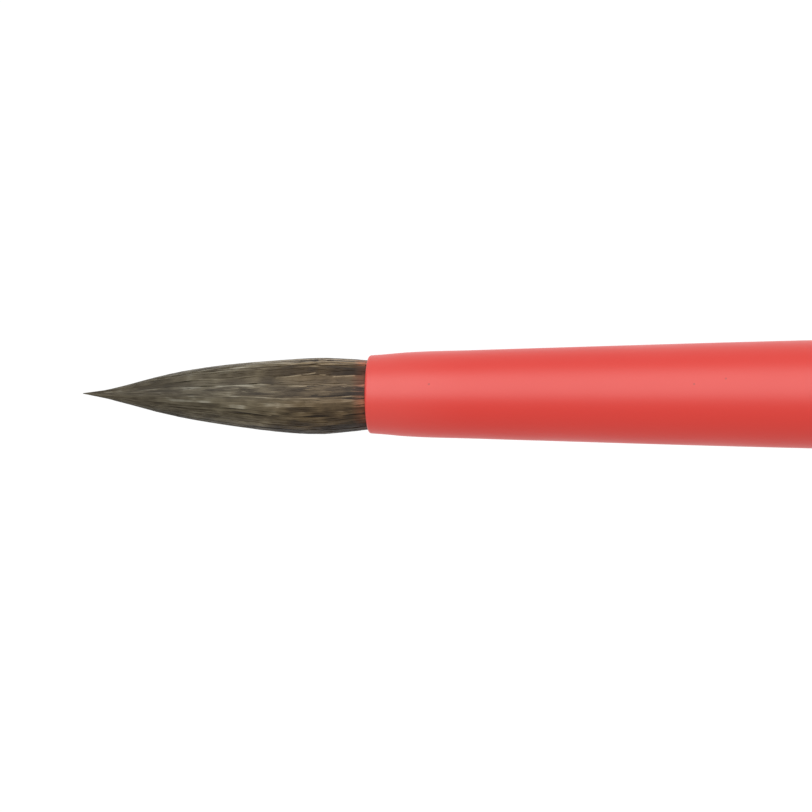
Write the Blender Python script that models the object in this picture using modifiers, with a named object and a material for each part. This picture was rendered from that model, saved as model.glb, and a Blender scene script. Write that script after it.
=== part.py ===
"""A fine detail brush: a pointed hair tuft set straight into the mouth of a turned, lacquered handle.

The brush lies along X, tuft towards -X, with the fattest part of its handle touching z = 0.
Every turned piece is an outline of (radius, distance) pairs, where distance runs along the brush's
axis from the handle's mouth, positive towards the tail and negative towards the tip of the hairs.
"""

import math

import bpy

MM = 0.001

# Driving dimensions, in metres.
TUFT_OUT = 22.8 * MM  # hair in front of the handle's mouth
HANDLE_LENGTH = 152.2 * MM
BELLY_RADIUS = 4.70 * MM  # the handle's fattest place
BORE_RADIUS = 2.80 * MM
LIP_RADIUS = 3.08 * MM  # the outside of the handle at its mouth
LIP_ROUNDING = 0.22 * MM
SOCKET_DEPTH = 14.0 * MM
PILOT_RADIUS = 1.0 * MM  # drilled ahead of the socket
PILOT_DEPTH = 18.0 * MM
TAIL_FLAT_RADIUS = 1.2 * MM
TAIL_ROUNDING = 0.9 * MM
HINGE_DEPTH = 3.0 * MM  # the tuft bends about a point this far behind the mouth
BEND_BALL_RADIUS = 4.35 * MM  # the free hairs start on a ball round that point
SLIT = 0.15 * MM  # between the gripped and the free stretch of the hairs
CLEARANCE = 0.10 * MM  # between neighbours inside the handle and the tuft
THREAD_DIAMETER = 0.30 * MM
THREAD_PITCH = 0.36 * MM
THREAD_TURNS = 4
ROOT_RADIUS = 2.20 * MM  # the hairs where the glue holds them
ROOT_MOUTH_RADIUS = 2.62 * MM
ROOT_DEPTH = 12.0 * MM
GROOVE_RADIUS = 1.95 * MM  # the hairs where a thread pulls them in
GROOVE_LENGTH = 2.0 * MM
GROOVE_EASE = 0.15 * MM  # how gently a groove's ends slope
SEAL_THICKNESS = 0.8 * MM
SEAL_ROUNDING = 0.25 * MM
SIDES = 36  # facets round every turned piece
TURN_POINTS = 20  # points in one turn of a thread

# Places along the socket, behind the mouth.
GROOVE_STARTS = {"front": 3.0 * MM, "rear": 7.5 * MM}
FLARE_START = 1.8 * MM  # from here the gripped hairs open out to fill the mouth
FLARE_END = 0.4 * MM
GLUE_START = 2.0 * MM

# Derived places and sizes.
MOUTH_X = TUFT_OUT - (TUFT_OUT + HANDLE_LENGTH) / 2
COIL_RADIUS = GROOVE_RADIUS + CLEARANCE + THREAD_DIAMETER / 2
GLUE_INNER_RADIUS = COIL_RADIUS + THREAD_DIAMETER / 2 + CLEARANCE
GLUE_OUTER_RADIUS = BORE_RADIUS - CLEARANCE
SEAL_START = ROOT_DEPTH + CLEARANCE
GLUE_FLOOR = SEAL_START + SEAL_THICKNESS + CLEARANCE

# The outer line of the tuft: (distance in front of the mouth, radius).
TUFT_STATIONS = [
    (0.0 * MM, 2.73 * MM),
    (3.9 * MM, 3.01 * MM),
    (8.6 * MM, 2.70 * MM),
    (13.4 * MM, 2.09 * MM),
    (16.6 * MM, 1.47 * MM),
    (18.2 * MM, 1.03 * MM),
    (21.4 * MM, 0.24 * MM),
    (TUFT_OUT, 0.02 * MM),
]
# The outer line of the handle behind its lip: (distance behind the mouth, radius).
HANDLE_STATIONS = [
    (LIP_ROUNDING, LIP_RADIUS),
    (1.2 * MM, 3.15 * MM),
    (2.4 * MM, 3.26 * MM),
    (10.3 * MM, 3.54 * MM),
    (34.8 * MM, 4.23 * MM),
    (62.0 * MM, BELLY_RADIUS),
    (88.0 * MM, 4.36 * MM),
    (118.0 * MM, 3.35 * MM),
    (HANDLE_LENGTH - TAIL_ROUNDING, TAIL_FLAT_RADIUS + TAIL_ROUNDING),
]

# The hairs inside the cover are laid in sleeves: each longer one runs inside a shorter one.
COVER_SHARE = 0.85  # the cover hairs' inner radius, as a share of the tuft's radius
FILLING_SHARE = 0.80  # the sleeves inside follow the tuft's line at this share of it
COVER_LENGTH = 20.4 * MM
SLEEVE_RADII = {
    # the waist hairs' limit is past the fattest place, so they fill the cover all along
    "point_hairs": 0.66 * MM,
    "throat_hairs": 1.18 * MM,
    "belly_hairs": 1.70 * MM,
    "waist_hairs": 2.40 * MM,
}

HINGE_NAME = "tuft_hinge"  # the empty that carries the bending hairs

COLOURS = {
    # material: (red, green, blue, roughness)
    "coral_lacquer": (0.80, 0.070, 0.055, 0.38),
    "cover_hair": (0.125, 0.098, 0.070, 0.55),
    "core_hair": (0.085, 0.062, 0.042, 0.60),
    "hemp_thread": (0.62, 0.50, 0.34, 0.85),
    "clear_glue": (0.70, 0.60, 0.38, 0.30),
    "fused_seal": (0.030, 0.022, 0.016, 0.35),
}


def clear_scene():
    for obj in list(bpy.data.objects):
        bpy.data.objects.remove(obj, do_unlink=True)


def make_material(name):
    """One Principled material, with its colour and roughness from COLOURS."""
    red, green, blue, roughness = COLOURS[name]
    material = bpy.data.materials.new(name)
    material.use_nodes = True
    shader = material.node_tree.nodes["Principled BSDF"]
    shader.inputs["Base Color"].default_value = (red, green, blue, 1.0)
    shader.inputs["Roughness"].default_value = roughness
    shader.inputs["Metallic"].default_value = 0.0
    return material


def make_empty(name, collection, location, parent=None, turn_y=0.0):
    empty = bpy.data.objects.new(name, None)
    empty.location = location
    empty.rotation_euler = (0.0, turn_y, 0.0)
    empty.parent = parent
    collection.objects.link(empty)
    return empty


def smooth_line(stations):
    """Returns radius(distance), a smooth curve through a few (distance, radius) stations."""
    places = [place for place, _ in stations]
    radii = [radius for _, radius in stations]
    last = len(stations) - 1
    slopes = []
    for i in range(len(stations)):
        before, after = max(i - 1, 0), min(i + 1, last)
        slopes.append((radii[after] - radii[before]) / (places[after] - places[before]))

    def radius_at(distance):
        i = 0
        while i < last - 1 and distance > places[i + 1]:
            i += 1
        span = places[i + 1] - places[i]
        t = (distance - places[i]) / span
        return (
            (2 * t**3 - 3 * t**2 + 1) * radii[i]
            + (t**3 - 2 * t**2 + t) * span * slopes[i]
            + (3 * t**2 - 2 * t**3) * radii[i + 1]
            + (t**3 - t**2) * span * slopes[i + 1]
        )

    return radius_at


tuft_radius = smooth_line(TUFT_STATIONS)
handle_radius = smooth_line(HANDLE_STATIONS)


def spread(start, end, count):
    """count + 1 evenly spaced distances from start to end."""
    return [start + (end - start) * i / count for i in range(count + 1)]


def arc(centre, radius, from_deg, to_deg, count):
    """Points of an arc as (radius, distance) pairs. 0 degrees points outwards, 90 towards the tail."""
    points = []
    for angle in spread(math.radians(from_deg), math.radians(to_deg), count):
        points.append((centre[0] + radius * math.cos(angle), centre[1] + radius * math.sin(angle)))
    return points


def ball_front(radius, ball_radius):
    """How far in front of the mouth a ball round the bending point reaches at this radius."""
    return math.sqrt(ball_radius**2 - radius**2) - HINGE_DEPTH


def filling_radius(place, limit):
    """The radius of the hairs inside the cover, for a group no fatter than the limit."""
    return min(limit, FILLING_SHARE * tuft_radius(place))


def reach(radius):
    """How far in front of the mouth the filling is still this fat: found by halving."""
    near, far = TUFT_STATIONS[1][0], TUFT_OUT
    for _ in range(40):
        middle = (near + far) / 2
        if FILLING_SHARE * tuft_radius(middle) > radius:
            near = middle
        else:
            far = middle
    return near


def turned(name, outline, material, collection, parent, closed=False):
    """Turns an outline about the brush's axis and hangs the piece on its parent empty.

    A closed outline is a sleeve with a wall all round; an open one starts and ends on the axis.
    """
    parent_depth = HINGE_DEPTH if parent.name == HINGE_NAME else 0.0
    mesh = bpy.data.meshes.new(name)
    points = [(radius, 0.0, distance - parent_depth) for radius, distance in outline]
    edges = [(i, i + 1) for i in range(len(points) - 1)]
    if closed:
        edges.append((len(points) - 1, 0))
    mesh.from_pydata(points, edges, [])
    obj = bpy.data.objects.new(name, mesh)
    obj.parent = parent
    obj.data.materials.append(material)
    collection.objects.link(obj)
    screw = obj.modifiers.new("turn", "SCREW")
    screw.steps = screw.render_steps = SIDES
    screw.use_merge_vertices = True
    screw.merge_threshold = 0.001 * MM
    screw.use_smooth_shade = True
    return obj


def build_handle(collection, parent, material):
    """The turned handle: rounded tail, outer taper, rounded lip, socket and pilot hole."""
    tail_centre = (TAIL_FLAT_RADIUS, HANDLE_LENGTH - TAIL_ROUNDING)
    lip_centre = (LIP_RADIUS - LIP_ROUNDING, LIP_ROUNDING)
    outline = [(0.0, HANDLE_LENGTH)]
    outline += arc(tail_centre, TAIL_ROUNDING, 90, 0, 5)
    taper = spread(HANDLE_STATIONS[-1][0], HANDLE_STATIONS[2][0], 24)[1:]
    outline += [(handle_radius(place), place) for place in taper]
    outline += [(handle_radius(HANDLE_STATIONS[1][0]), HANDLE_STATIONS[1][0])]
    outline += arc(lip_centre, LIP_ROUNDING, 0, -90, 4)
    outline += [
        (BORE_RADIUS, 0.0),
        (BORE_RADIUS, SOCKET_DEPTH),
        (PILOT_RADIUS, SOCKET_DEPTH),
        (PILOT_RADIUS, PILOT_DEPTH),
        (0.0, PILOT_DEPTH + PILOT_RADIUS / 2),
    ]
    return turned("handle", outline, material, collection, parent)


def build_root_bundle(collection, parent, material):
    """The stretch of the hairs that the handle grips, pulled in where the threads go round."""
    outline = [(0.0, ROOT_DEPTH), (ROOT_RADIUS, ROOT_DEPTH)]
    for side in ("rear", "front"):
        start = GROOVE_STARTS[side]
        end = start + GROOVE_LENGTH
        outline += [(ROOT_RADIUS, end + GROOVE_EASE), (GROOVE_RADIUS, end)]
        outline += [(GROOVE_RADIUS, start), (ROOT_RADIUS, start - GROOVE_EASE)]
    outline += [(ROOT_RADIUS, FLARE_START), (ROOT_MOUTH_RADIUS, FLARE_END)]
    for radius in spread(ROOT_MOUTH_RADIUS, 0.0, 5):
        outline.append((radius, -ball_front(radius, BEND_BALL_RADIUS - SLIT)))
    return turned("root_bundle", outline, material, collection, parent)


def build_binding_thread(side, collection, parent, material):
    """A few turns of thread in the root bundle's groove, as one helix."""
    count = THREAD_TURNS * TURN_POINTS
    start = GROOVE_STARTS[side] + (GROOVE_LENGTH - THREAD_TURNS * THREAD_PITCH) / 2
    curve = bpy.data.curves.new(f"binding_thread_{side}", "CURVE")
    curve.dimensions = "3D"
    curve.bevel_depth = THREAD_DIAMETER / 2
    curve.bevel_resolution = 2
    curve.use_fill_caps = True
    spline = curve.splines.new("POLY")
    spline.points.add(count)
    for i, point in enumerate(spline.points):
        angle = 2 * math.pi * i / TURN_POINTS
        place = start + THREAD_PITCH * i / TURN_POINTS
        point.co = (COIL_RADIUS * math.cos(angle), COIL_RADIUS * math.sin(angle), place, 1.0)
    obj = bpy.data.objects.new(f"binding_thread_{side}", curve)
    obj.parent = parent
    obj.data.materials.append(material)
    collection.objects.link(obj)
    return obj


def build_root_seal(collection, parent, material):
    """The fused button that locks the hairs' butt ends together."""
    back = SEAL_START + SEAL_THICKNESS
    corner_centre = (ROOT_RADIUS - SEAL_ROUNDING, back - SEAL_ROUNDING)
    outline = [(0.0, back)]
    outline += arc(corner_centre, SEAL_ROUNDING, 90, 0, 3)
    outline += [(ROOT_RADIUS, SEAL_START), (0.0, SEAL_START)]
    return turned("root_seal", outline, material, collection, parent)


def build_glue_bed(collection, parent, material):
    """The cup of glue that fills the socket round the root bundle and behind its seal."""
    outline = [
        (0.0, SOCKET_DEPTH - CLEARANCE),
        (GLUE_OUTER_RADIUS, SOCKET_DEPTH - CLEARANCE),
        (GLUE_OUTER_RADIUS, GLUE_START),
        (GLUE_INNER_RADIUS, GLUE_START),
        (GLUE_INNER_RADIUS, GLUE_FLOOR),
        (0.0, GLUE_FLOOR),
    ]
    return turned("glue_bed", outline, material, collection, parent)


def build_cover_hairs(collection, parent, material):
    """The outer skin of hairs, from just in front of the mouth nearly to the tip."""
    outer_start = ball_front(tuft_radius(0.0), BEND_BALL_RADIUS)
    inner_start = ball_front(COVER_SHARE * tuft_radius(0.0), BEND_BALL_RADIUS)
    outer_places = spread(outer_start, COVER_LENGTH, 13)
    inner_places = spread(COVER_LENGTH, inner_start, 13)
    outline = [(tuft_radius(place), -place) for place in outer_places]
    outline += [(COVER_SHARE * tuft_radius(place), -place) for place in inner_places]
    return turned("cover_hairs", outline, material, collection, parent, closed=True)


def build_sleeve(name, inner_radius, collection, parent, material):
    """One sleeve of the filling: as fat as its limit, then cut to the tuft's taper."""
    limit = SLEEVE_RADII[name]
    base_radius = filling_radius(0.0, limit)
    outer_start = ball_front(base_radius, BEND_BALL_RADIUS)
    sleeve_end = reach(inner_radius)
    outline = [(inner_radius, -ball_front(inner_radius, BEND_BALL_RADIUS)), (base_radius, -outer_start)]
    for place in spread(outer_start, sleeve_end, 12)[1:-1]:
        outline.append((filling_radius(place, limit), -place))
    outline.append((inner_radius, -sleeve_end))
    return turned(name, outline, material, collection, parent, closed=True)


def build_point_hairs(collection, parent, material):
    """The longest hairs, in the middle, which alone reach the tip."""
    limit = SLEEVE_RADII["point_hairs"]
    outline = [(0.0, -ball_front(0.0, BEND_BALL_RADIUS)), (limit, -ball_front(limit, BEND_BALL_RADIUS))]
    for place in spread(reach(limit), TUFT_OUT, 8)[:-1]:
        outline.append((filling_radius(place, limit), -place))
    outline.append((0.0, -TUFT_OUT))
    return turned("point_hairs", outline, material, collection, parent)


def main():
    clear_scene()
    brush = bpy.data.collections.new("fine_detail_brush")
    bpy.context.scene.collection.children.link(brush)
    paints = {name: make_material(name) for name in COLOURS}

    # Local +Z of the axis empty points along +X, towards the tail.
    axis = make_empty("brush_axis", brush, (MOUTH_X, 0.0, BELLY_RADIUS), turn_y=math.pi / 2)
    hinge = make_empty(HINGE_NAME, brush, (0.0, 0.0, HINGE_DEPTH), parent=axis)

    build_handle(brush, axis, paints["coral_lacquer"])
    build_root_bundle(brush, axis, paints["core_hair"])
    for side in GROOVE_STARTS:
        build_binding_thread(side, brush, axis, paints["hemp_thread"])
    build_root_seal(brush, axis, paints["fused_seal"])
    build_glue_bed(brush, axis, paints["clear_glue"])

    build_cover_hairs(brush, hinge, paints["cover_hair"])
    build_point_hairs(brush, hinge, paints["core_hair"])
    sleeves = list(SLEEVE_RADII)
    for inner, name in zip(sleeves, sleeves[1:]):
        build_sleeve(name, SLEEVE_RADII[inner] + CLEARANCE, brush, hinge, paints["core_hair"])


main()
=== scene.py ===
# %% [markdown]
# A fine detail brush for model making: a pointed tuft of natural hair set straight into the mouth
# of a lacquered, turned handle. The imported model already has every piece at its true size. This
# lesson gives the brush its looks: a smoother handle, a tuft made of single hairs, and finishes.
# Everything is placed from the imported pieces' own sizes, so nothing has to be fitted by eye.

import math

import bmesh
import bpy
import numpy as np
from mathutils import Matrix, Vector


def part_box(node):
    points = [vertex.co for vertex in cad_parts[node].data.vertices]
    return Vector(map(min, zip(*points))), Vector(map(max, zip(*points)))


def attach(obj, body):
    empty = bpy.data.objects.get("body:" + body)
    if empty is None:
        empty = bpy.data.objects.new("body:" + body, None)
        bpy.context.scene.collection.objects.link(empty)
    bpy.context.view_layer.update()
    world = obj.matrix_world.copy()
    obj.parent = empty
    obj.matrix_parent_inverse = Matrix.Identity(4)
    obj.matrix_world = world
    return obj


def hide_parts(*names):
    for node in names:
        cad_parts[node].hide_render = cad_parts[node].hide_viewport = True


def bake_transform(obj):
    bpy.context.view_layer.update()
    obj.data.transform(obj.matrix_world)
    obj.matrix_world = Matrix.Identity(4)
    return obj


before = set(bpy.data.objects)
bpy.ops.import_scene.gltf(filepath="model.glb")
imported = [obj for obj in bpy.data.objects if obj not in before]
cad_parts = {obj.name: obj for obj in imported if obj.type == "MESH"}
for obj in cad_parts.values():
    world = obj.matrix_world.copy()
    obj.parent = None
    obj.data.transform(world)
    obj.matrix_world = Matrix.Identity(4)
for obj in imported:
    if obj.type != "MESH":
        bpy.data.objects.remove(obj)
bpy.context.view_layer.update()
print("packed pieces:", ", ".join(sorted(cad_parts)))

# %% [markdown]
# The brush lies along X, hairs towards -X, with its own line a little above the table. Each turned
# piece can be told by a line of radii along that line, so one helper reads the outer rings of a
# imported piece, and another draws a smooth curve through them. Distances are counted in front of
# the handle's mouth: positive towards the tip of the hairs, negative towards the tail.

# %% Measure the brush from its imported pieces
MM = 0.001

handle_low, handle_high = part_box("handle")
mouth_x = handle_low.x
axis_z = (handle_low.z + handle_high.z) / 2
tail_ahead = mouth_x - handle_high.x
tip_ahead = mouth_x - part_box("point_hairs")[0].x


def outer_line(node):
    """The rings on the outside of a turned piece: distances in front of the mouth, and radii."""
    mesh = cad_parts[node].data
    rings = {}
    for face in mesh.polygons:
        outward = Vector((0.0, face.center.y, face.center.z - axis_z)).normalized()
        if face.normal.dot(outward) > 0.2:
            for index in face.vertices:
                x, y, z = mesh.vertices[index].co
                rings[round(mouth_x - x, 6)] = math.hypot(y, z - axis_z)
    places = sorted(rings)
    return np.array(places), np.array([rings[place] for place in places])


def smooth_line(places, radii):
    """A smooth curve through the rings, as a function that takes a distance or an array of them."""
    slopes = np.gradient(radii, places)

    def radius_at(distance):
        distance = np.clip(distance, places[0], places[-1])
        i = np.clip(np.searchsorted(places, distance) - 1, 0, len(places) - 2)
        span = places[i + 1] - places[i]
        t = (distance - places[i]) / span
        start = (2 * t**3 - 3 * t**2 + 1) * radii[i] + (t**3 - 2 * t**2 + t) * span * slopes[i]
        end = (3 * t**2 - 2 * t**3) * radii[i + 1] + (t**3 - t**2) * span * slopes[i + 1]
        return start + end

    return radius_at


handle_places, handle_radii = outer_line("handle")
print(f"mouth at x = {mouth_x / MM:.1f} mm, hairs {tip_ahead / MM:.1f} mm long outside it")
print(f"the handle's outside has {len(handle_places)} rings, "
      f"up to {handle_radii.max() / MM:.2f} mm in radius")

# %% [markdown]
# A small product like this is shot with a long lens, almost from the side, so that its sides stay
# parallel. The camera stands a few degrees towards the handle's end, which shows the rounded edge
# of the mouth as a slightly bowed line against the hairs, and a few degrees above the table. It
# is rolled a little so that the brush still lies level in the picture.

# %% Camera
CAMERA_TURN = math.radians(7.0)
CAMERA_RISE = math.radians(6.0)
CAMERA_DISTANCE = 0.60
VIEW_WIDTH = 63.85 * MM
LOOK_BEHIND_MOUTH = 2.91 * MM
LOOK_BELOW_AXIS = 0.92 * MM

camera_data = bpy.data.cameras.new("camera")
camera_data.sensor_width = 36.0
camera_data.lens = camera_data.sensor_width * CAMERA_DISTANCE / VIEW_WIDTH
camera_data.clip_start = 0.05
camera_data.clip_end = 20.0
camera = bpy.data.objects.new("camera", camera_data)
look_at = Vector((mouth_x + LOOK_BEHIND_MOUTH, 0.0, axis_z - LOOK_BELOW_AXIS))
backwards = Vector((
    math.sin(CAMERA_TURN) * math.cos(CAMERA_RISE),
    -math.cos(CAMERA_TURN) * math.cos(CAMERA_RISE),
    math.sin(CAMERA_RISE),
))
right = (Vector((1.0, 0.0, 0.0)) - backwards * backwards.x).normalized()
camera.location = look_at + backwards * CAMERA_DISTANCE
camera.rotation_euler = Matrix((right, backwards.cross(right), backwards)).transposed().to_euler()
bpy.context.scene.collection.objects.link(camera)
bpy.context.scene.camera = camera
print(f"a {camera_data.lens:.0f} mm lens, {CAMERA_DISTANCE} m away")

# %% [markdown]
# The set is a white one: a white floor, white all round, and one large soft light in front of and
# above the brush. The soft light gives the lacquer its broad, gentle highlight, and the white
# surroundings give both its rims their pale line. To the camera, and in a reflection, the floor
# and the surroundings are white, and as light they are dimmer: a Light Path node can tell these
# apart. A card that only shows in reflections makes the highlight stronger, with no more light on
# the colours themselves. The brush is held clear of the floor, so its tuft has room to bend down.

# %% Set and lights
SURROUND = {"camera": 1.05, "reflection": 1.25, "light": 0.70}
TABLE = {"camera": 1.05, "reflection": 1.0, "light": 0.65}
KEY_RADIANCE = 0.90
CARD_RADIANCE = 2.3
KEY_SIZE = (0.80, 0.88)
KEY_DISTANCE = 0.55
KEY_HEIGHT = math.radians(25.0)
FLOOR_DROP = 9 * MM
FLOOR_SIZE = 4.0


def link_all(tree, pairs):
    for out_socket, in_socket in pairs:
        tree.links.new(out_socket, in_socket)


def add_brightness(tree, levels):
    """How bright a surface is to the camera, to a reflection and to everything that it lights."""
    path = tree.nodes.new("ShaderNodeLightPath")
    reflected = tree.nodes.new("ShaderNodeMapRange")
    reflected.inputs["To Min"].default_value = levels["light"]
    reflected.inputs["To Max"].default_value = levels["reflection"]
    seen = tree.nodes.new("ShaderNodeMapRange")
    seen.inputs["To Max"].default_value = levels["camera"]
    link_all(tree, [
        (path.outputs["Is Glossy Ray"], reflected.inputs["Value"]),
        (path.outputs["Is Camera Ray"], seen.inputs["Value"]),
        (reflected.outputs["Result"], seen.inputs["To Min"]),
    ])
    return seen.outputs["Result"]


def build_world():
    world = bpy.data.worlds.new("white_surround")
    world.use_nodes = True
    tree = world.node_tree
    background = tree.nodes["Background"]
    background.inputs["Color"].default_value = (1.0, 1.0, 1.0, 1.0)
    tree.links.new(add_brightness(tree, SURROUND), background.inputs["Strength"])
    bpy.context.scene.world = world


def build_floor():
    bm = bmesh.new()
    below = Matrix.Translation((0.0, 0.0, -FLOOR_DROP))
    bmesh.ops.create_grid(bm, x_segments=1, y_segments=1, size=FLOOR_SIZE, matrix=below)
    mesh = bpy.data.meshes.new("floor")
    bm.to_mesh(mesh)
    bm.free()
    floor = bpy.data.objects.new("floor", mesh)
    bpy.context.scene.collection.objects.link(floor)
    paper = bpy.data.materials.new("light_table")
    paper.use_nodes = True
    paper.cycles.emission_sampling = "NONE"
    tree = paper.node_tree
    tree.nodes.clear()
    out = tree.nodes.new("ShaderNodeOutputMaterial")
    glow = tree.nodes.new("ShaderNodeEmission")
    link_all(tree, [
        (add_brightness(tree, TABLE), glow.inputs["Strength"]),
        (glow.outputs["Emission"], out.inputs["Surface"]),
    ])
    mesh.materials.append(paper)


def build_soft_light(name, radiance):
    """A rectangular soft light in front of and above the brush, as bright to look at as radiance."""
    data = bpy.data.lights.new(name, "AREA")
    data.shape = "RECTANGLE"
    data.size, data.size_y = KEY_SIZE
    data.energy = radiance * math.pi * KEY_SIZE[0] * KEY_SIZE[1]
    light = bpy.data.objects.new(name, data)
    towards = Vector((0.0, -math.cos(KEY_HEIGHT), math.sin(KEY_HEIGHT)))
    light.location = look_at + towards * KEY_DISTANCE
    light.rotation_euler = towards.to_track_quat("Z", "Y").to_euler()
    light.visible_camera = False
    bpy.context.scene.collection.objects.link(light)
    return light


build_world()
build_floor()
build_soft_light("key_light", KEY_RADIANCE)
card = build_soft_light("gloss_card", CARD_RADIANCE)
card.visible_diffuse = False
bpy.context.scene.view_settings.view_transform = "Standard"
print("white world, white floor, one soft light of", KEY_SIZE, "m")

# %% [markdown]
# Materials are built from nodes, so a few small helpers keep the lines short: one adds a node with
# its settings and inputs, others mix two colours or lay out a colour ramp, and one starts a node
# group with named inputs and outputs. A group is built once and used by several finishes, each
# with its own values.

# %% Node helpers
def add(tree, kind, settings=None, inputs=None):
    """Adds a node. An input takes a socket to link, or a plain value, by its name or number."""
    node = tree.nodes.new(kind)
    for name, value in (settings or {}).items():
        setattr(node, name, value)
    for name, value in (inputs or {}).items():
        if isinstance(value, bpy.types.NodeSocket):
            tree.links.new(value, node.inputs[name])
        else:
            node.inputs[name].default_value = value
    return node


def start_group(name, inputs, outputs):
    """A new shader group. inputs are (name, type, value), outputs are (name, type)."""
    group = bpy.data.node_groups.new(name, "ShaderNodeTree")
    for label, kind, value in inputs:
        socket = group.interface.new_socket(label, in_out="INPUT", socket_type=kind)
        if value is not None:
            socket.default_value = value
    for label, kind in outputs:
        group.interface.new_socket(label, in_out="OUTPUT", socket_type=kind)
    return group, group.nodes.new("NodeGroupInput").outputs, group.nodes.new("NodeGroupOutput").inputs


def use_group(tree, group, inputs):
    return add(tree, "ShaderNodeGroup", {"node_tree": group}, inputs).outputs


def mix_colours(tree, factor, first, second):
    """Goes from the first colour to the second. Each is a colour or a socket."""
    mix = add(tree, "ShaderNodeMix", {"data_type": "RGBA"}, {"Factor": factor, 6: first, 7: second})
    return mix.outputs[2]


def add_ramp(tree, value, stops):
    """A colour ramp with any number of (position, red, green, blue) stops."""
    ramp = add(tree, "ShaderNodeValToRGB", None, {"Fac": value})
    while len(ramp.color_ramp.elements) < len(stops):
        ramp.color_ramp.elements.new(0.5)
    for stop, (position, *colour) in zip(ramp.color_ramp.elements, stops):
        stop.position = position
        stop.color = (*colour, 1.0)
    return ramp.outputs["Color"]


def new_finish(name):
    """A material with its Principled shader, and the node tree to build in."""
    material = bpy.data.materials.new(name)
    material.use_nodes = True
    return material, material.node_tree, material.node_tree.nodes["Principled BSDF"]


# %% [markdown]
# Three effects turn up in more than one finish. Lengthways streaks are noise squeezed across the
# brush and stretched along it: wood grain and bundled hair both look like that. A skin is the
# faint unevenness of anything that was once liquid, such as lacquer, glue or resin. Specks are
# the few small marks that any surface picks up.

# %% Shared effects: streaks, skin and specks
FLOAT = "NodeSocketFloat"
VECTOR = "NodeSocketVector"


def build_streaks():
    """Streaks along X: Length and Width in metres, Contrast above 1 makes them crisper."""
    group, given, result = start_group(
        "lengthways_streaks",
        [("Vector", VECTOR, None), ("Length", FLOAT, 3 * MM),
         ("Width", FLOAT, 0.1 * MM), ("Contrast", FLOAT, 2.0)],
        [("Mask", FLOAT)],
    )
    stretch = add(group, "ShaderNodeCombineXYZ", None,
                  {"X": given["Length"], "Y": given["Width"], "Z": given["Width"]})
    place = add(group, "ShaderNodeVectorMath", {"operation": "DIVIDE"},
                {0: given["Vector"], 1: stretch.outputs[0]})
    noise = add(group, "ShaderNodeTexNoise", None,
                {"Vector": place.outputs[0], "Scale": 1.0, "Detail": 2.0})
    centred = add(group, "ShaderNodeMath", {"operation": "SUBTRACT"},
                  {0: noise.outputs["Fac"], 1: 0.5})
    spread = add(group, "ShaderNodeMath", {"operation": "MULTIPLY"},
                 {0: centred.outputs[0], 1: given["Contrast"]})
    mask = add(group, "ShaderNodeMath", {"operation": "ADD", "use_clamp": True},
               {0: spread.outputs[0], 1: 0.5})
    group.links.new(mask.outputs[0], result["Mask"])
    return group


def build_skin():
    """The uneven skin of something that set from liquid: broad Waves with fine Peel on top."""
    group, given, result = start_group(
        "set_skin",
        [("Vector", VECTOR, None), ("Waves", FLOAT, 4 * MM),
         ("Peel", FLOAT, 0.4 * MM), ("Peel Share", FLOAT, 0.25)],
        [("Height", FLOAT), ("Cloud", FLOAT)],
    )
    heights = []
    for size in ("Waves", "Peel"):
        scale = add(group, "ShaderNodeMath", {"operation": "DIVIDE"}, {0: 1.0, 1: given[size]})
        noise = add(group, "ShaderNodeTexNoise", None,
                    {"Vector": given["Vector"], "Scale": scale.outputs[0], "Detail": 2.0})
        heights.append(noise.outputs["Fac"])
    height = add(group, "ShaderNodeMath", {"operation": "MULTIPLY_ADD"},
                 {0: heights[1], 1: given["Peel Share"], 2: heights[0]})
    group.links.new(height.outputs[0], result["Height"])
    group.links.new(heights[0], result["Cloud"])
    return group


def build_specks():
    """Small round specks, one here and there: Spacing is how far apart they could be."""
    group, given, result = start_group(
        "specks",
        [("Vector", VECTOR, None), ("Spacing", FLOAT, 1.5 * MM),
         ("Size", FLOAT, 0.08), ("Share", FLOAT, 0.3)],
        [("Mask", FLOAT)],
    )
    scale = add(group, "ShaderNodeMath", {"operation": "DIVIDE"}, {0: 1.0, 1: given["Spacing"]})
    cells = add(group, "ShaderNodeTexVoronoi", None,
                {"Vector": given["Vector"], "Scale": scale.outputs[0], "Randomness": 1.0})
    dot = add(group, "ShaderNodeMath", {"operation": "LESS_THAN"},
              {0: cells.outputs["Distance"], 1: given["Size"]})
    pick = add(group, "ShaderNodeSeparateColor", None, {"Color": cells.outputs["Color"]})
    chosen = add(group, "ShaderNodeMath", {"operation": "LESS_THAN"},
                 {0: pick.outputs["Red"], 1: given["Share"]})
    mask = add(group, "ShaderNodeMath", {"operation": "MULTIPLY"},
               {0: dot.outputs[0], 1: chosen.outputs[0]})
    group.links.new(mask.outputs[0], result["Mask"])
    return group


streaks = build_streaks()
skin = build_skin()
specks = build_specks()
print("shared effects:", ", ".join(group.name for group in (streaks, skin, specks)))

# %% [markdown]
# The handle is sprayed with several coats of coral lacquer and rubbed down to a satin gloss. A
# plain red plastic look is the danger, so the colour drifts a little along the handle and is painted
# paler towards the mouth, partly as wear and partly as a painted highlight, tiny dark marks sit in it
# here and there, the skin has faint waves that break up the highlight, and the roughness drifts
# too. The wood under it shows only inside the socket, so it has a finish of its own.

# %% Coral lacquer and bare wood
CORAL = (0.74, 0.034, 0.021, 1.0)
CORAL_DEEP = (0.70, 0.030, 0.018, 1.0)
# Paler coral towards the mouth: partly wear, partly a painted highlight.
CORAL_WEAR_AND_SHEEN = (0.80, 0.12, 0.10, 1.0)
CORAL_MARK = (0.52, 0.030, 0.020, 1.0)
LACQUER_ROUGHNESS = (0.38, 0.44)
WEAR_AND_SHEEN_LENGTH = 9 * MM
WEAR_AND_SHEEN_SHARE = 0.25


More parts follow.
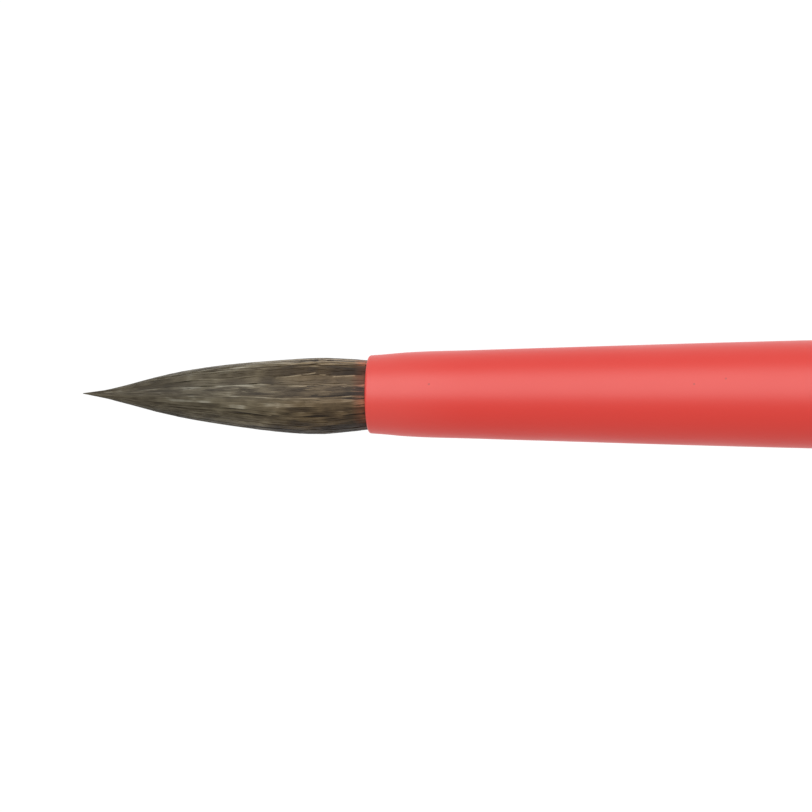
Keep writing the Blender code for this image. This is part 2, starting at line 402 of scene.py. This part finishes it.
def build_lacquer():
    material, tree, shader = new_finish("satin_coral_lacquer")
    place = add(tree, "ShaderNodeTexCoord").outputs["Object"]
    waves = use_group(tree, skin,
                      {"Vector": place, "Waves": 9 * MM, "Peel": 0.5 * MM, "Peel Share": 0.12})
    marks = use_group(tree, specks,
                      {"Vector": place, "Spacing": 2.6 * MM, "Size": 0.035, "Share": 0.25})
    drift = mix_colours(tree, waves["Cloud"], CORAL, CORAL_DEEP)
    along = add(tree, "ShaderNodeSeparateXYZ", None, {0: place}).outputs["X"]
    # Paler towards the mouth, partly as wear and partly as a painted highlight.
    wear_and_sheen = add(tree, "ShaderNodeMapRange", {"interpolation_type": "SMOOTHSTEP"},
               {"Value": along, "From Min": mouth_x + WEAR_AND_SHEEN_LENGTH, "From Max": mouth_x,
                "To Max": WEAR_AND_SHEEN_SHARE})
    faded_and_lit = mix_colours(tree, wear_and_sheen.outputs["Result"], drift, CORAL_WEAR_AND_SHEEN)
    marked = mix_colours(tree, marks["Mask"], faded_and_lit, CORAL_MARK)
    rough = add(tree, "ShaderNodeMapRange", None,
                {"Value": waves["Cloud"], "From Min": 0.3, "From Max": 0.7,
                 "To Min": LACQUER_ROUGHNESS[0], "To Max": LACQUER_ROUGHNESS[1]})
    bump = add(tree, "ShaderNodeBump", None,
               {"Height": waves["Height"], "Strength": 0.18, "Distance": 0.12 * MM})
    link_all(tree, [
        (marked, shader.inputs["Base Color"]),
        (rough.outputs["Result"], shader.inputs["Roughness"]),
        (bump.outputs["Normal"], shader.inputs["Normal"]),
    ])
    return material


def build_bare_wood():
    material, tree, shader = new_finish("bare_wood")
    place = add(tree, "ShaderNodeTexCoord").outputs["Object"]
    grain = use_group(tree, streaks,
                      {"Vector": place, "Length": 14 * MM, "Width": 0.5 * MM, "Contrast": 2.2})
    colour = mix_colours(tree, grain["Mask"], (0.42, 0.27, 0.14, 1.0), (0.66, 0.48, 0.29, 1.0))
    bump = add(tree, "ShaderNodeBump", None,
               {"Height": grain["Mask"], "Strength": 0.4, "Distance": 0.05 * MM})
    shader.inputs["Roughness"].default_value = 0.75
    link_all(tree, [
        (colour, shader.inputs["Base Color"]),
        (bump.outputs["Normal"], shader.inputs["Normal"]),
    ])
    return material


coral_lacquer = build_lacquer()
bare_wood = build_bare_wood()
print("handle finishes:", coral_lacquer.name, bare_wood.name)

# %% [markdown]
# The handle is turned on a lathe from one stick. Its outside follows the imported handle's rings,
# with more of them, so the lacquer's highlight runs without facets. The mouth has a rounded lip
# where the lacquer builds up, and behind it are the bored socket and the drill's pilot hole. An
# outline spun round the brush's line makes all of this in one go, as the lathe does.

# %% Handle
TURN_STEPS = 144
OUTSIDE_RINGS = 150
SHOULDER_RINGS = 16
LIP_STEPS = 9
SHOULDER_LENGTH = 3 * MM
TAIL_LENGTH = 2 * MM
BED_CLEARANCE = 0.10 * MM
MOUTH_BREAK = 0.03 * MM

socket_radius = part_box("glue_bed")[1].y + BED_CLEARANCE
socket_floor = mouth_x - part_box("glue_bed")[1].x - BED_CLEARANCE
PILOT_RADIUS = 1.0 * MM
PILOT_DEPTH = 4.0 * MM
LIP_ROUNDING = 0.22 * MM
LIP_RADIUS = 3.08 * MM
behind_lip = handle_places < -4 * LIP_ROUNDING
shoulder_places = np.append(handle_places[behind_lip], -LIP_ROUNDING)
shoulder_radii = np.append(handle_radii[behind_lip], LIP_RADIUS)
handle_radius = smooth_line(shoulder_places, shoulder_radii)


def spin_outline(name, outline):
    """Turns (distance ahead, radius) pairs about the brush's line into one smooth closed mesh."""
    bm = bmesh.new()
    corners = [bm.verts.new((mouth_x - ahead, 0.0, axis_z + radius)) for ahead, radius in outline]
    edges = [bm.edges.new(pair) for pair in zip(corners, corners[1:])]
    bmesh.ops.spin(bm, geom=corners + edges, cent=(0.0, 0.0, axis_z), axis=(1.0, 0.0, 0.0),
                   angle=2 * math.pi, steps=TURN_STEPS, use_merge=True)
    bmesh.ops.remove_doubles(bm, verts=bm.verts, dist=0.0005 * MM)
    bmesh.ops.recalc_face_normals(bm, faces=bm.faces)
    mesh = bpy.data.meshes.new(name)
    bm.to_mesh(mesh)
    bm.free()
    mesh.shade_smooth()
    piece = bpy.data.objects.new(name, mesh)
    bpy.context.scene.collection.objects.link(piece)
    return piece


def handle_outline():
    """From the middle of the tail, along the outside, round the lip and into the socket."""
    outline = [(tail_ahead, 0.0), (tail_ahead, handle_radii[0])]
    in_tail = (handle_places > tail_ahead) & (handle_places < tail_ahead + TAIL_LENGTH)
    tail_rings = handle_places[in_tail]
    body_rings = np.linspace(tail_rings[-1], -SHOULDER_LENGTH, OUTSIDE_RINGS)[1:]
    shoulder_rings = np.linspace(-SHOULDER_LENGTH, -LIP_ROUNDING, SHOULDER_RINGS)[1:]
    for ahead in (*tail_rings, *body_rings, *shoulder_rings):
        outline.append((ahead, float(handle_radius(ahead))))
    for turn in np.linspace(0.0, math.pi / 2, LIP_STEPS)[1:]:
        ahead = LIP_ROUNDING * (math.sin(turn) - 1.0)
        outline.append((ahead, LIP_RADIUS - LIP_ROUNDING * (1.0 - math.cos(turn))))
    outline += [(0.0, socket_radius + MOUTH_BREAK), (-MOUTH_BREAK, socket_radius)]
    outline += [(socket_floor, socket_radius), (socket_floor, PILOT_RADIUS)]
    pilot_floor = socket_floor - PILOT_DEPTH
    outline += [(pilot_floor, PILOT_RADIUS), (pilot_floor - PILOT_RADIUS / 2, 0.0)]
    return outline


def build_handle():
    piece = spin_outline("lacquered_handle", handle_outline())
    piece.data.materials.append(coral_lacquer)
    piece.data.materials.append(bare_wood)
    bore_end = mouth_x - socket_floor + PILOT_DEPTH + PILOT_RADIUS
    for face in piece.data.polygons:
        radius = math.hypot(face.center.y, face.center.z - axis_z)
        inside = face.center.x < bore_end and radius < socket_radius * 0.999
        face.material_index = 1 if inside else 0
    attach(piece, "handle")
    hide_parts("handle")
    return piece


handle = build_handle()
print(f"handle: {len(handle.data.polygons)} faces, lip rounded by {LIP_ROUNDING / MM:.2f} mm")

# %% [markdown]
# Inside the handle are the pieces that hold the hairs. The bound root of the tuft is dark hair,
# two windings of waxed thread squeeze it, a button of dark resin fuses the hairs' ends, and amber
# glue beds it all in the socket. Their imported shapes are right, so they only need finishes. The
# thread's twist is a stripe that runs round the brush and along it at once.

# %% Finishes inside the handle
TWISTS_ROUND = 46.0
TWIST_PER_METRE = 9.0 / MM


def build_root_hair():
    material, tree, shader = new_finish("root_hair")
    place = add(tree, "ShaderNodeTexCoord").outputs["Object"]
    lines = use_group(tree, streaks,
                      {"Vector": place, "Length": 4 * MM, "Width": 0.09 * MM, "Contrast": 2.5})
    colour = mix_colours(tree, lines["Mask"], (0.020, 0.014, 0.010, 1.0), (0.110, 0.085, 0.060, 1.0))
    bump = add(tree, "ShaderNodeBump", None,
               {"Height": lines["Mask"], "Strength": 0.7, "Distance": 0.04 * MM})
    shader.inputs["Roughness"].default_value = 0.6
    link_all(tree, [
        (colour, shader.inputs["Base Color"]),
        (bump.outputs["Normal"], shader.inputs["Normal"]),
    ])
    return material


def build_thread():
    material, tree, shader = new_finish("waxed_thread")
    place = add(tree, "ShaderNodeTexCoord").outputs["Object"]
    centred = add(tree, "ShaderNodeVectorMath", {"operation": "SUBTRACT"},
                  {0: place, 1: (mouth_x, 0.0, axis_z)})
    part = add(tree, "ShaderNodeSeparateXYZ", None, {0: centred.outputs[0]})
    angle = add(tree, "ShaderNodeMath", {"operation": "ARCTAN2"},
                {0: part.outputs["Z"], 1: part.outputs["Y"]})
    round_it = add(tree, "ShaderNodeMath", {"operation": "MULTIPLY"},
                   {0: angle.outputs[0], 1: TWISTS_ROUND})
    twist = add(tree, "ShaderNodeMath", {"operation": "MULTIPLY_ADD"},
                {0: part.outputs["X"], 1: TWIST_PER_METRE, 2: round_it.outputs[0]})
    wave = add(tree, "ShaderNodeMath", {"operation": "SINE"}, {0: twist.outputs[0]})
    ramp = add(tree, "ShaderNodeMapRange", None,
               {"Value": wave.outputs[0], "From Min": -1.0, "From Max": 1.0})
    height = ramp.outputs["Result"]
    colour = mix_colours(tree, height, (0.42, 0.32, 0.19, 1.0), (0.66, 0.56, 0.40, 1.0))
    bump = add(tree, "ShaderNodeBump", None, {"Height": height, "Strength": 0.6, "Distance": 0.03 * MM})
    shader.inputs["Roughness"].default_value = 0.7
    link_all(tree, [
        (colour, shader.inputs["Base Color"]),
        (bump.outputs["Normal"], shader.inputs["Normal"]),
    ])
    return material


def build_set_resin(name, light, dark, roughness, speck_share):
    """Glue or resin: a cloudy colour, an uneven skin and a few trapped bubbles or hair ends."""
    material, tree, shader = new_finish(name)
    place = add(tree, "ShaderNodeTexCoord").outputs["Object"]
    surface = use_group(tree, skin,
                        {"Vector": place, "Waves": 1.5 * MM, "Peel": 0.2 * MM, "Peel Share": 0.4})
    dots = use_group(tree, specks,
                     {"Vector": place, "Spacing": 0.5 * MM, "Size": 0.22, "Share": speck_share})
    amount = add(tree, "ShaderNodeMath", {"operation": "MAXIMUM"},
                 {0: surface["Cloud"], 1: dots["Mask"]})
    colour = mix_colours(tree, amount.outputs[0], dark, light)
    bump = add(tree, "ShaderNodeBump", None,
               {"Height": surface["Height"], "Strength": 0.4, "Distance": 0.08 * MM})
    shader.inputs["Roughness"].default_value = roughness
    link_all(tree, [
        (colour, shader.inputs["Base Color"]),
        (bump.outputs["Normal"], shader.inputs["Normal"]),
    ])
    return material


AMBER = (0.78, 0.58, 0.27, 1.0)
AMBER_DEEP = (0.52, 0.34, 0.12, 1.0)
RESIN = (0.10, 0.075, 0.05, 1.0)
RESIN_DEEP = (0.018, 0.013, 0.010, 1.0)
INNER_FINISHES = {
    "root_bundle": build_root_hair(),
    "binding_thread_front": build_thread(),
    "glue_bed": build_set_resin("amber_glue", AMBER, AMBER_DEEP, 0.3, 0.2),
    "root_seal": build_set_resin("fused_resin", RESIN, RESIN_DEEP, 0.45, 0.6),
}
INNER_FINISHES["binding_thread_rear"] = INNER_FINISHES["binding_thread_front"]
for node_name, finish in INNER_FINISHES.items():
    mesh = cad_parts[node_name].data
    mesh.materials.clear()
    mesh.materials.append(finish)
    print(f"{node_name}: {finish.name}")

# %% [markdown]
# Hair looks like hair because every strand has its own tone, light at one place and dark at the
# next, and because strands lie over each other and leave dark gaps. One picture of stripes on a
# smooth cone would look painted, so the tuft is built of real strands. The finish reads two marks
# that each strand carries: its own tone, with painted sheen on top of the tuft, painted shade under
# it and a few painted glints, and where along it a point is. Since they are stored on the mesh, the
# pattern stays with the hair when the tuft bends.

# %% Hair finish
HAIR_TONES = [
    # (tone, red, green, blue)
    (0.00, 0.045, 0.031, 0.0165),
    (0.35, 0.150, 0.117, 0.068),
    (0.65, 0.318, 0.266, 0.170),
    (1.00, 0.775, 0.724, 0.576),
]
# From the mouth to the tip, what is left of each colour: painted shade and a painted red reflection of
# the lacquer at the mouth, brown at the belly, then greyer and darker towards the point.
HAIR_TINTS_AND_MOUTH_SHADE = [
    # (mm in front of the mouth, red, green, blue)
    # The first row is painted shade and a painted red reflection of the lacquer, at the mouth.
    (0.2, 0.73, 0.31, 0.225),
    (1.1, 0.405, 0.318, 0.248),
    (5.0, 0.405, 0.338, 0.270),
    (9.0, 0.525, 0.51, 0.495),
    (12.5, 0.455, 0.46, 0.465),
    (15.0, 0.35, 0.35, 0.35),
    (21.0, 0.38, 0.38, 0.39),
]

HAIR_GLOSS = 0.20
PATCHES_PER_MM = 0.45  # how often a hair changes from light to dark along its way
STRAND_PATCHES = 0.25  # how much the tone changes along each hair by itself
LOCK_PATCHES = 1.6  # and how much along all the hairs of a lock together


def build_hair_finish(name, roughness):
    material, tree, shader = new_finish(name)
    strand = add(tree, "ShaderNodeAttribute", {"attribute_name": "strand"})
    tone_and_painted_light = add(tree, "ShaderNodeAttribute", {"attribute_name": "tone_and_painted_light"})
    level = tone_and_painted_light.outputs["Fac"]
    for mask, amount in (((1.0, 1.0, 0.0), STRAND_PATCHES), ((1.0, 0.0, 1.0), LOCK_PATCHES)):
        place = add(tree, "ShaderNodeVectorMath", {"operation": "MULTIPLY"},
                    {0: strand.outputs["Vector"], 1: mask})
        patches = add(tree, "ShaderNodeTexNoise", None,
                      {"Vector": place.outputs[0], "Scale": PATCHES_PER_MM, "Detail": 2.0})
        shift = add(tree, "ShaderNodeMath", {"operation": "SUBTRACT"},
                    {0: patches.outputs["Fac"], 1: 0.5})
        level = add(tree, "ShaderNodeMath", {"operation": "MULTIPLY_ADD", "use_clamp": True},
                    {0: shift.outputs[0], 1: amount, 2: level}).outputs[0]
    ahead = add(tree, "ShaderNodeSeparateXYZ", None, {0: strand.outputs["Vector"]}).outputs["X"]
    reach = add(tree, "ShaderNodeMath", {"operation": "DIVIDE"}, {0: ahead, 1: tip_ahead / MM})
    tints_and_mouth_shade = [(place * MM / tip_ahead, *colour) for place, *colour in HAIR_TINTS_AND_MOUTH_SHADE]
    plain = add_ramp(tree, level, HAIR_TONES)
    # The tint along the hair, with painted shade and a painted red reflection at the mouth.
    tint_and_mouth_shade = add_ramp(tree, reach.outputs[0], tints_and_mouth_shade)
    tinted_and_mouth_shaded = add(tree, "ShaderNodeMix", {"data_type": "RGBA", "blend_type": "MULTIPLY"},
                 {"Factor": 1.0, 6: plain, 7: tint_and_mouth_shade})
    shader.inputs["Roughness"].default_value = roughness
    shader.inputs["Specular IOR Level"].default_value = HAIR_GLOSS
    tree.links.new(tinted_and_mouth_shaded.outputs[2], shader.inputs["Base Color"])
    return material


cover_hair = build_hair_finish("outer_strand", 0.42)
core_hair = build_hair_finish("inner_strand", 0.55)
print("hair finishes:", cover_hair.name, core_hair.name)

# %% [markdown]
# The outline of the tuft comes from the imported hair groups: full just in front of the mouth, then
# a long taper to a needle point. A real tuft is never quite straight, so this one's belly hangs a
# hair's breadth low, and its last few hairs turn up a little at the tip.

# %% The tuft's outline
ROOT_INSIDE = 1.3 * MM
SAG = 0.15 * MM
SAG_PLACE = 5.6 * MM
SAG_SPREAD = 5.2 * MM
TIP_LIFT = 0.08 * MM
TIP_LENGTH = 3.3 * MM
NEEDLE_LENGTH = 0.6 * MM
ROOT_RADII = [2.64 * MM, 2.70 * MM]  # where the roots start inside the handle, and at its mouth
NEEDLE_RADII = [0.06 * MM, 0.02 * MM]  # where the needle point starts, and at its very tip

cover_places, cover_radii = outer_line("cover_hairs")
needle_places = [tip_ahead - NEEDLE_LENGTH, tip_ahead]
tuft_places = np.concatenate(([-ROOT_INSIDE, 0.0], cover_places, needle_places))
tuft_radii = np.concatenate((ROOT_RADII, cover_radii, NEEDLE_RADII))
tuft_radius = smooth_line(tuft_places, tuft_radii)


def sag(ahead):
    """How far the tuft's middle hangs below the brush's line."""
    lift = TIP_LIFT * np.clip((ahead - tip_ahead + TIP_LENGTH) / TIP_LENGTH, 0.0, 1.0) ** 2
    return SAG * np.exp(-(((ahead - SAG_PLACE) / SAG_SPREAD) ** 2)) - lift


print(f"tuft: {2 * tuft_radii.max() / MM:.2f} mm across at its belly, {SAG / MM} mm of sag")

# %% [markdown]
# One strand is a long four-sided tube, cut into short lengths so that it can curve. It is laid
# flatter than it is wide, because hairs that lie side by side show as fine bands, not as wires.
# The strand is made once, copied for every hair of a group, and each copy is then laid along its
# own path with array sums, which is much quicker than moving vertices one at a time.

# %% One strand
HAIR_SIDES = 4
HAIR_SPANS = 12


def make_strand():
    """A unit tube along Z, from 0 to 1, with its flat sides square to X and Y."""
    bm = bmesh.new()
    upright = Matrix.Translation((0.0, 0.0, 0.5)) @ Matrix.Rotation(math.pi / HAIR_SIDES, 4, "Z")
    bmesh.ops.create_cone(bm, cap_ends=True, segments=HAIR_SIDES, radius1=1.0, radius2=1.0, depth=1.0,
                          matrix=upright)
    lengthways = [edge for edge in bm.edges if abs(edge.verts[0].co.z - edge.verts[1].co.z) > 0.5]
    bmesh.ops.subdivide_edges(bm, edges=lengthways, cuts=HAIR_SPANS - 1)
    mesh = bpy.data.meshes.new("strand")
    bm.to_mesh(mesh)
    bm.free()
    return mesh


strand_mesh = make_strand()
print(f"one strand: {len(strand_mesh.polygons)} faces")

# %% [markdown]
# A group of hairs is laid like this. Each strand gets an angle round the tuft and a depth under
# its surface, and hairs gather a little into locks, as they do once they have been wet. Along its
# way a strand wanders sideways and dives under its neighbours and comes up again. Shorter hairs
# end on the taper, so that the number of hairs falls as the tuft gets thinner, and every hair
# tapers to its own fine end. Hairs on top of the tuft are painted a little paler, as painted sheen,
# and those under it darker, as painted shade; a few single hairs are painted bright, as painted
# glints, and towards the tip all of them become more alike.

# %% Lay a group of hairs
LEADERS = 30  # hairs in each group that run to its very end
FLATNESS = 0.3  # how thick a strand is, as a share of its width
WOBBLE_LENGTHS = np.array([3.1, 7.3, 2.7, 5.2]) * MM  # two waves sideways, then two in depth
WOBBLE_DEPTH = 0.006  # how far a hair dives and rises, as a share of the tuft's radius
LOCK_LIFT = 0.009  # how far a lock stands out or lies low, in the same measure
GATHER = 0.45  # how far a hair leans towards the middle of its lock, at most
GATHER_LENGTH = 8 * MM
OWN_SHARE = 0.15  # how much of a hair's tone is its own, and not its lock's
# Painted glints: a few single hairs are painted bright.
PAINTED_GLINT_SHARE = 0.02  # how many hairs are bright ones
PAINTED_GLINT_TONE = 0.25
BELLY_CONTRAST = 1.45  # how much the tones differ at the belly, and in front of it
FRONT_CONTRAST = 0.35
CONTRAST_FADE = (3 * MM, 8 * MM)  # where the first turns into the second, and over what length
# Painted sheen: hairs on top of the tuft are painted paler. Painted shade: hairs under it are painted
# darker.
PAINTED_TOP_SHEEN = 0.09  # how much paler the hairs on top of the tuft are
PAINTED_UNDERSIDE_SHADE = 0.54  # and how much darker those under it, which fades towards the tip
PAINTED_SHADE_LENGTH = 11 * MM


def copy_strands(name, count):
    """One mesh with that many copies of the strand, and the unit strand's vertices as an array."""
    bm = bmesh.new()
    for _ in range(count):
        bm.from_mesh(strand_mesh)
    mesh = bpy.data.meshes.new(name)
    bm.to_mesh(mesh)
    bm.free()
    unit = np.array([vertex.co for vertex in strand_mesh.vertices])
    return mesh, unit


def store_mark(mesh, name, kind, field, values):
    mark = mesh.attributes.new(name, kind, "POINT")
    mark.data.foreach_set(field, values.astype(np.float32).ravel())


def fade(start, length, place):
    """Goes from 0 at the start to 1 a length further on."""
    return np.clip((place - start) / length, 0.0, 1.0)


def lay_hairs(name, finish, count, line, depth, thickness, reach, locks, wander, tones, seed):
    """Lays count strands under the outer line. Depth, thickness and tones are (least, most)."""
    rng = np.random.default_rng(seed)
    mesh, unit = copy_strands(name, count)
    along = unit[:, 2][None, :]

    # Where each hair starts and ends: as many are left at a place as the tuft has width for.
    alive_at = np.linspace(tip_ahead * 0.2, reach, 200)
    alive = np.minimum.accumulate(line(alive_at)) / line(alive_at).max()
    alive[-1] = 0.0
    ends = np.interp(rng.uniform(0.0, 1.0, count), alive[::-1], alive_at[::-1])
    ends[:LEADERS] = reach
    starts = rng.uniform(-ROOT_INSIDE, -0.3 * ROOT_INSIDE, count)
    ahead = starts[:, None] + (ends - starts)[:, None] * along

    # The angle of each hair, drawn towards the middle of its lock.
    lock_angles = np.sort(rng.uniform(0.0, 2 * math.pi, locks))
    angles = rng.uniform(0.0, 2 * math.pi, count)
    lock = np.abs(np.angle(np.exp(1j * (angles[:, None] - lock_angles[None, :])))).argmin(1)
    pull = np.angle(np.exp(1j * (lock_angles[lock] - angles)))
    gather = rng.uniform(0.0, GATHER, (count, 1)) * fade(0.0, GATHER_LENGTH, ahead)

    # How it wanders sideways and in depth, as four waves of its own.
    widest = line(alive_at).max()
    wave = rng.uniform(0.6, 1.4, (4, count, 1)) * WOBBLE_LENGTHS[:, None, None]
    phase = rng.uniform(0.0, 2 * math.pi, (4, count, 1))
    wobble = np.sin(2 * math.pi * ahead[None] / wave + phase)
    size = rng.uniform(0.3, 1.0, (count, 1)) * wander
    turn = angles[:, None] + pull[:, None] * gather + size / widest * (0.5 * wobble[0] + wobble[1])

    under = rng.uniform(0.0, 1.0, count)[:, None] * (depth[1] - depth[0]) + depth[0]
    lift = rng.uniform(-LOCK_LIFT, LOCK_LIFT, locks)[lock][:, None]
    dive = WOBBLE_DEPTH * (wobble[2] + 0.5 * wobble[3])
    share = np.clip(1.0 - under + lift + dive, 0.02, 1.0)
    thick = rng.uniform(thickness[0], thickness[1], count)[:, None] / 2 * (1.0 - 0.7 * along**4)
    radius = share * np.maximum(line(ahead) - FLATNESS * math.sqrt(0.5) * thick, 0.0)

    # Each corner of each strand, from the middle of the tuft outwards and then sideways.
    outwards = np.stack([np.zeros_like(turn), np.cos(turn), np.sin(turn)], axis=2)
    sideways = np.stack([np.zeros_like(turn), -np.sin(turn), np.cos(turn)], axis=2)
    middle = np.stack([mouth_x - ahead, np.zeros_like(ahead), axis_z - sag(ahead)], axis=2)
    points = middle + outwards * (radius + FLATNESS * thick * unit[:, 0])[:, :, None]
    points = points + sideways * (thick * unit[:, 1])[:, :, None]
    mesh.vertices.foreach_set("co", points.astype(np.float32).ravel())

    # Its tone, which is mostly its lock's, with painted glints, painted sheen on top and painted shade
    # underneath.
    own = rng.beta(2.0, 2.6, count)
    lock_tone = rng.uniform(0.0, 1.0, locks)[lock]
    # The hairs that carry a painted glint.
    painted_glint = PAINTED_GLINT_TONE * (rng.uniform(0.0, 1.0, count) < PAINTED_GLINT_SHARE)
    contrast = BELLY_CONTRAST - (BELLY_CONTRAST - FRONT_CONTRAST) * fade(*CONTRAST_FADE, ahead)
    tone_and_painted_light = OWN_SHARE * own + (1.0 - OWN_SHARE) * lock_tone + painted_glint - 0.5
    tone_and_painted_light = (tones[0] + tones[1]) / 2 + (tones[1] - tones[0]) * tone_and_painted_light[:, None] * contrast
    # Painted sheen on top of the tuft and painted shade under it, put into the tone.
    painted_sheen_on_top = fade(0.5, 0.35, np.sin(angles))[:, None]
    painted_shade_underneath = fade(0.35, 0.2, -np.sin(angles))[:, None]
    tone_and_painted_light = tone_and_painted_light + PAINTED_TOP_SHEEN * painted_sheen_on_top
    tone_and_painted_light = tone_and_painted_light - PAINTED_UNDERSIDE_SHADE * painted_shade_underneath * np.clip(1.2 - ahead / PAINTED_SHADE_LENGTH, 0.2, 1.0)
    store_mark(mesh, "tone_and_painted_light", "FLOAT", "value", tone_and_painted_light)

    # Where along it each point is, with one number for the hair and one for its lock, spread out
    # so that neighbours read different places of the same noise.
    hair_number = np.broadcast_to(np.arange(count)[:, None] * 7.3, ahead.shape)
    lock_number = np.broadcast_to(lock[:, None] * 5.9, ahead.shape)
    marks = np.stack([ahead / MM, hair_number, lock_number], axis=2)
    store_mark(mesh, "strand", "FLOAT_VECTOR", "vector", marks)

    mesh.shade_smooth()
    mesh.set_sharp_from_angle(angle=math.radians(60))
    mesh.materials.append(finish)
    mesh.update()
    piece = bpy.data.objects.new(name, mesh)
    bpy.context.scene.collection.objects.link(piece)
    print(f"{name}: {count} hairs, {len(mesh.polygons)} faces")
    return piece


# %% [markdown]
# A pointed brush is built up in layers. The longest hairs stand in the middle and make the point,
# shorter ones go round them at the throat, the belly and the waist, and a skin of fine hairs
# covers them all. Each layer stands for its packed group, whose imported piece is hidden. All of
# them are held by the handle at their roots.

# %% Hair groups
HAIR_GROUPS = [
    # node, finish, hairs, depth (share of the radius), thickness (mm), locks, wander (mm), tones, seed
    ("cover_hairs", cover_hair, 1500, (0.0, 0.05), (0.12, 0.17), 80, 0.16, (0.09, 0.87), 3),
    ("waist_hairs", core_hair, 420, (0.0, 0.15), (0.13, 0.17), 60, 0.12, (0.1, 0.6), 5),
    ("belly_hairs", core_hair, 260, (0.0, 0.35), (0.16, 0.20), 40, 0.10, (0.1, 0.6), 7),
    ("throat_hairs", core_hair, 170, (0.0, 0.5), (0.16, 0.20), 30, 0.08, (0.1, 0.6), 11),
    ("point_hairs", core_hair, 150, (0.0, 0.9), (0.10, 0.14), 20, 0.05, (0.2, 0.5), 13),
]


def inner_line(node):
    """The outer line of a group inside the cover, which runs on straight into the mouth."""
    places, radii = outer_line(node)
    places = np.concatenate(([-ROOT_INSIDE], places))
    radii = np.concatenate(([radii[0]], radii))
    return smooth_line(places, radii), places[-1]


def build_group(node, finish, count, depth, thickness, locks, wander, tones, seed):
    """Lays one layer in place of its packed group, and hides that group's imported piece."""
    if node == "cover_hairs":
        line, reach = tuft_radius, tip_ahead
    else:
        line, reach = inner_line(node)
    thickness = [width * MM for width in thickness]
    piece = lay_hairs(node.replace("_hairs", "_strands"), finish, count, line, depth, thickness,
                      reach, locks, wander * MM, tones, seed)
    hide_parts(node)
    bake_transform(piece)


for group_row in HAIR_GROUPS:
    build_group(*group_row)
